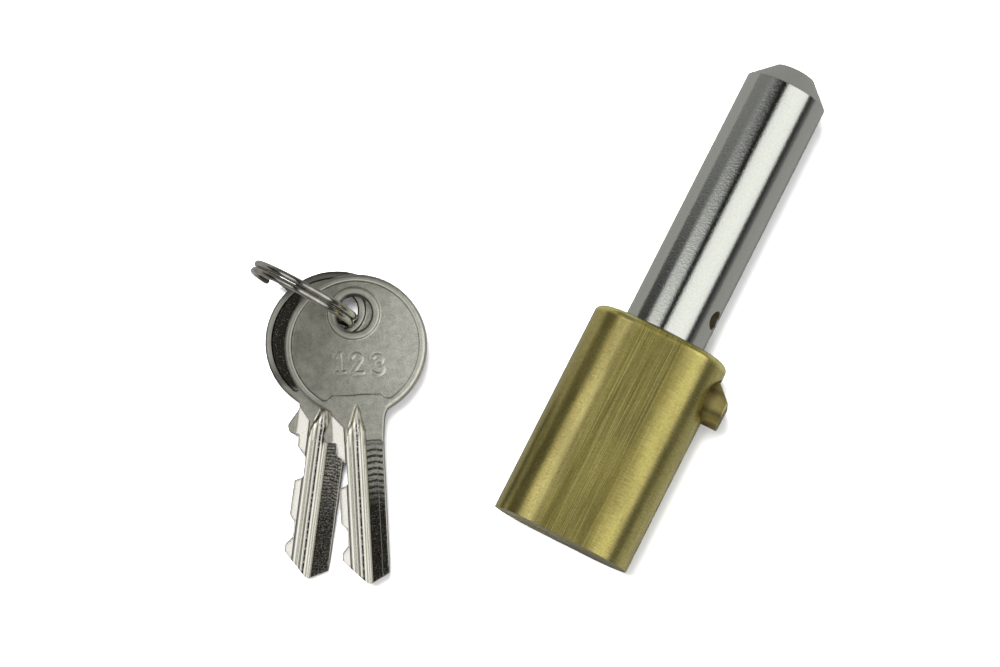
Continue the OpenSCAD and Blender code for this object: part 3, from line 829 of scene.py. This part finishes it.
def build_key(name):
    """Triangulated outline with an eye, raised to both faces and walled round."""
    outline = key_outline()
    segments = closed(outline)
    rim = len(outline)
    coords = [Vector(p) for p in outline + circle(EYE_R, EYE_COUNT)]
    coords += [Vector((float(x), float(y))) for x, y in key_points(segments)]
    edges = [(i, (i + 1) % rim) for i in range(rim)]
    edges += [(rim + i, rim + (i + 1) % EYE_COUNT) for i in range(EYE_COUNT)]
    flat, _, triangles, *_ = delaunay_2d_cdt(coords, edges, [], 0, 1e-6)
    flat = np.array([[p[0], p[1]] for p in flat])
    centres = np.array([[flat[f[0]], flat[f[1]], flat[f[2]]] for f in triangles]).mean(1)
    kept = inside(centres, segments) & (np.hypot(*centres.T) > EYE_R * 0.999)
    edge = distance(flat, segments)
    count = len(flat)
    verts = np.vstack([np.c_[flat, front_heights(flat, edge)],
                       np.c_[flat, -back_heights(flat, edge)]]) * MM
    faces, sides = [], {}
    for triangle, keep in zip(triangles, kept):
        if not keep:
            continue
        a, b, c = triangle[:3]
        (abx, aby), (acx, acy) = flat[b] - flat[a], flat[c] - flat[a]
        if abx * acy - aby * acx < 0:
            b, c = c, b
        faces += [(a, b, c), (a + count, c + count, b + count)]
        sides.update(dict.fromkeys([(a, b), (b, c), (c, a)]))
    # a side with no twin lies on the outline or the eye
    faces += [(b, a, a + count, b + count) for a, b in sides if (b, a) not in sides]
    mesh = new_mesh(name, verts.tolist(), faces)
    mesh.validate()
    smooth_skin(mesh, sharp_degrees=48, slot="key_nickel")
    return mesh


# How the keys lie, in degrees: heading of the pair, slope to the floor, fan to each side.
KEY_HEADING, KEY_SLOPE, KEY_FAN = 25.0, 2.8, 5.2


def place_key(node, mesh, fan):
    eye = Vector(JOINTS[node + "_swing"]["pos_m"])
    key = add_object(node + "_skin", mesh)
    key.matrix_world = (Matrix.Translation(eye)
                        @ Matrix.Rotation(math.radians(KEY_HEADING), 4, "Z")
                        @ Matrix.Rotation(math.radians(KEY_SLOPE), 4, "X")
                        @ Matrix.Rotation(math.radians(fan), 4, "Z"))
    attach(key, node)
    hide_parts(node)


front_mesh = build_key("key_front_mesh")
back_mesh = front_mesh.copy()
back_mesh.name = "key_back_mesh"
# the back key gets a copy of the material with painted shade
back_mesh.materials[0] = key_nickel(back=True)
place_key("key_front", front_mesh, KEY_FAN)
place_key("key_back", back_mesh, -KEY_FAN)


# ------------------------------------------------------------------ springs
def build_spring(node, wire, turns):
    """Compression spring along X with closed end coils; wire is the wire's radius.
    """
    steps, sides = 28, 10
    low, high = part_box(node)
    radius = ((high[1] - low[1]) / 2 - wire * MM) / MM
    start, span = low[0] / MM, (high[0] - low[0]) / MM
    cy, cz = (low[1] + high[1]) / 2 / MM, (low[2] + high[2]) / 2 / MM
    rise_end = span - 2 * wire
    path = []
    for i in range(turns * steps + 1):
        t = i / steps
        if t < 1:
            rise = 2 * wire * t
        elif t > turns - 1:
            rise = rise_end - 2 * wire * (turns - t)
        else:
            rise = 2 * wire + (rise_end - 4 * wire) * (t - 1) / (turns - 2)
        angle = 2 * math.pi * t
        path.append(np.array([start + wire + rise, cy + radius * math.cos(angle),
                              cz + radius * math.sin(angle)]))
    verts, faces = tube(path, [wire * 0.98] * len(path), [1, 0, 0], sides)
    mesh = new_mesh(node + "_coil", (verts * MM).tolist(), faces)
    smooth_skin(mesh, sharp_degrees=50, slot="spring_steel")
    coil = add_object(node + "_coil", mesh)
    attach(coil, "lock_body")
    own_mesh(coil)
    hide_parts(node)


build_spring("latch_spring", wire=0.20, turns=6)
for k in range(1, 6):
    build_spring(f"pin_spring_{k}", wire=0.16, turns=7)


# ------------------------------------------------------------------ split ring
RING_WIRE = 0.575       # wire radius
RING_OUTER = 19.6       # outside diameter
RING_OFFSET = 0.598     # each coil's distance from the ring's middle plane
RING_SPREAD = 0.16      # how far the last end springs away
RING_REACH = 328        # degrees wound each way from the crossover
CROSSOVER_AT = 246.0    # degrees round the ring
RING_LEAN, RING_TURN = 1.4, -1.7    # degrees about X, then about Z


def ring_side(angle):
    """Offset along the ring's axis: the wire steps across, and one end stands off."""
    if abs(angle) < 30:
        return -RING_OFFSET * math.sin(math.radians(3 * angle))
    if angle < 0:
        return RING_OFFSET
    return -RING_OFFSET - RING_SPREAD * max(0.0, (angle - 200) / (RING_REACH - 200))


def build_ring():
    steps, sides = 420, 20
    low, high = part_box("split_ring")
    radius = RING_OUTER / 2 - RING_WIRE
    path = []
    for i in range(steps + 1):
        angle = -RING_REACH + 2 * RING_REACH * i / steps
        t = math.radians(angle + CROSSOVER_AT)
        path.append(np.array([radius * math.cos(t), ring_side(angle), radius * math.sin(t)]))
    # the cut ends are dressed a little smaller
    radii = [RING_WIRE * (0.86 + 0.14 * min(1.0, min(i, steps - i) / 2.0))
             for i in range(steps + 1)]
    verts, faces = tube(path, radii, [0, 1, 0], sides, squeeze=0.97)
    tilt = np.array(Matrix.Rotation(math.radians(RING_TURN), 3, "Z")
                    @ Matrix.Rotation(math.radians(RING_LEAN), 3, "X"))
    verts = (verts @ tilt.T) * MM
    # the mesh's own box is centred on the node's box
    verts -= (verts.min(0) + verts.max(0)) / 2
    mesh = new_mesh("split_ring_skin", verts.tolist(), faces)
    smooth_skin(mesh, sharp_degrees=50, slot="ring_plate")
    ring = add_object("split_ring_skin", mesh)
    ring.location = Vector([(low[i] + high[i]) / 2 for i in range(3)])
    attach(ring, "split_ring")
    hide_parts("split_ring")


build_ring()


# ------------------------------------------------------------------ floor
def build_floor():
    """White to the camera, dark to every other ray. Sizes in metres."""
    half, gap = 3.0, 0.00002
    mat = new_material("floor")
    tree = mat.node_tree
    seen = add_node(tree, "ShaderNodeBsdfDiffuse", {"Color": (0.93, 0.93, 0.93)})
    dark = add_node(tree, "ShaderNodeBsdfDiffuse", {"Color": (0.115, 0.115, 0.112)})
    split_rays(tree, dark, seen, "ShaderNodeOutputMaterial")
    z = CAD_BOX[0][2] - gap
    corners = [(-half, -half, z), (half, -half, z), (half, half, z), (-half, half, z)]
    mesh = new_mesh("floor", corners, [(0, 1, 2, 3)])
    mesh.materials.append(mat)
    add_object("floor", mesh)


build_floor()

# ------------------------------------------------------------------ studio light
# Soft boxes and dark flags as bands about the lock's long axis: degrees from straight up
# towards +x, brightness.
RIGHT_BANDS = [
    (-3, 0.06), (0, 0.40), (4, 0.74), (12, 0.83), (24, 0.86), (40, 0.88), (54, 0.84),
    (60, 0.80), (65, 0.62), (68, 0.10), (74, 0.02), (82, 0.06), (90, 0.13), (102, 0.25),
    (116, 0.33)]
MIDDLE_BANDS = [
    (-180, 0.19), (-100, 0.19), (-83, 0.175), (-71, 0.165), (-61, 0.155), (-54, 0.14),
    (-47, 0.145), (-40, 0.17), (-34, 0.34), (-26, 0.36), (-21, 0.22), (-17, 0.03),
    (-10, 0.015), (-5, 0.015)] + RIGHT_BANDS + [(180, 0.24)]
NEAR_BANDS = [
    (-180, 0.19), (-109, 0.15), (-95, 0.09), (-83, 0.045), (-72, 0.030), (-62, 0.03),
    (-56, 0.08), (-51, 0.52), (-46, 0.70), (-22, 0.73), (-17, 0.56), (-13, 0.06),
    (-10, 0.015), (-5, 0.015)] + RIGHT_BANDS + [(180, 0.22)]
FAR_BANDS = [
    (-180, 0.19), (-95, 0.19), (-70, 0.185), (-50, 0.18), (-42, 0.19), (-36, 0.13),
    (-31, 0.06), (-25, 0.045), (-12, 0.015), (-5, 0.015)] + RIGHT_BANDS + [(180, 0.24)]


def build_world():
    world = bpy.data.worlds.new("studio")
    bpy.context.scene.world = world
    world.use_nodes = True
    tree = world.node_tree
    tree.nodes.clear()
    x, y, z = add_node(tree, "ShaderNodeTexCoord", out="Generated").axes()
    degrees = calc("ARCTAN2", x, z) * (180 / math.pi)
    turn = (degrees + 180.0) / 360.0
    middle, near, far = (turn.gradient([(angle, (level,) * 3) for angle, level in bands])
                         for bands in (MIDDLE_BANDS, NEAR_BANDS, FAR_BANDS))
    # near bands towards -y, far bands towards +y, plain grey at both ends
    color = middle.tint(near, (y + degrees * 0.0004).ramp(over=(0.178, 0.130)))
    color = color.tint(far, y.ramp(over=(0.178, 0.214)))
    side_on = abs(y).ramp(over=(0.45, 0.75))
    end_on = abs(y).ramp(over=(0.78, 0.93))
    color = color.tint(end_on.mix((0.085, 0.085, 0.081), (0.19, 0.19, 0.182)), side_on)
    studio = add_node(tree, "ShaderNodeBackground", {"Color": color, "Strength": 1.45})
    white = add_node(tree, "ShaderNodeBackground",
                     {"Color": (0.95, 0.95, 0.95), "Strength": 1.0})
    split_rays(tree, studio, white, "ShaderNodeOutputWorld")


def area_light(name, offset, size, power):
    """Disk light aimed at the middle of the set, unseen in reflections; metres and watts."""
    target = (Vector(CAD_BOX[0]) + Vector(CAD_BOX[1])) / 2
    light = bpy.data.lights.new(name, "AREA")
    light.shape = "DISK"
    light.size = size
    light.energy = power
    lamp = add_object(name, light)
    place = target + Vector(offset)
    lamp.location = place
    lamp.rotation_mode = "QUATERNION"
    lamp.rotation_quaternion = (target - place).to_track_quat("-Z", "Y")
    lamp.visible_glossy = False


build_world()
area_light("key_light", offset=(-0.23, 0.10, 0.86), size=0.54, power=24.0)
area_light("fill_light", offset=(0.30, -0.20, 0.90), size=0.9, power=2.5)

# ------------------------------------------------------------------ camera
CAMERA_AT = Vector((40.291, -68.991, 477.771))
CAMERA_RIGHT = Vector((0.8885521, 0.4539681, -0.0662428))
CAMERA_DOWN = Vector((0.4388902, -0.8831801, -0.1654337))
CAMERA_FORWARD = Vector((-0.133606, 0.1179232, -0.9839937))

scene = bpy.context.scene
camera_data = bpy.data.cameras.new("camera")
camera_data.sensor_width = 36.0
camera_data.lens = 104.44212
camera_data.clip_start = 0.01
camera_data.clip_end = 20.0
camera = add_object("camera", camera_data)
pose = Matrix((CAMERA_RIGHT, -CAMERA_DOWN, -CAMERA_FORWARD)).transposed().to_4x4()
pose.translation = CAMERA_AT * MM
camera.matrix_world = pose
scene.camera = camera
scene.view_settings.view_transform = "Standard"
scene.view_settings.look = "None"
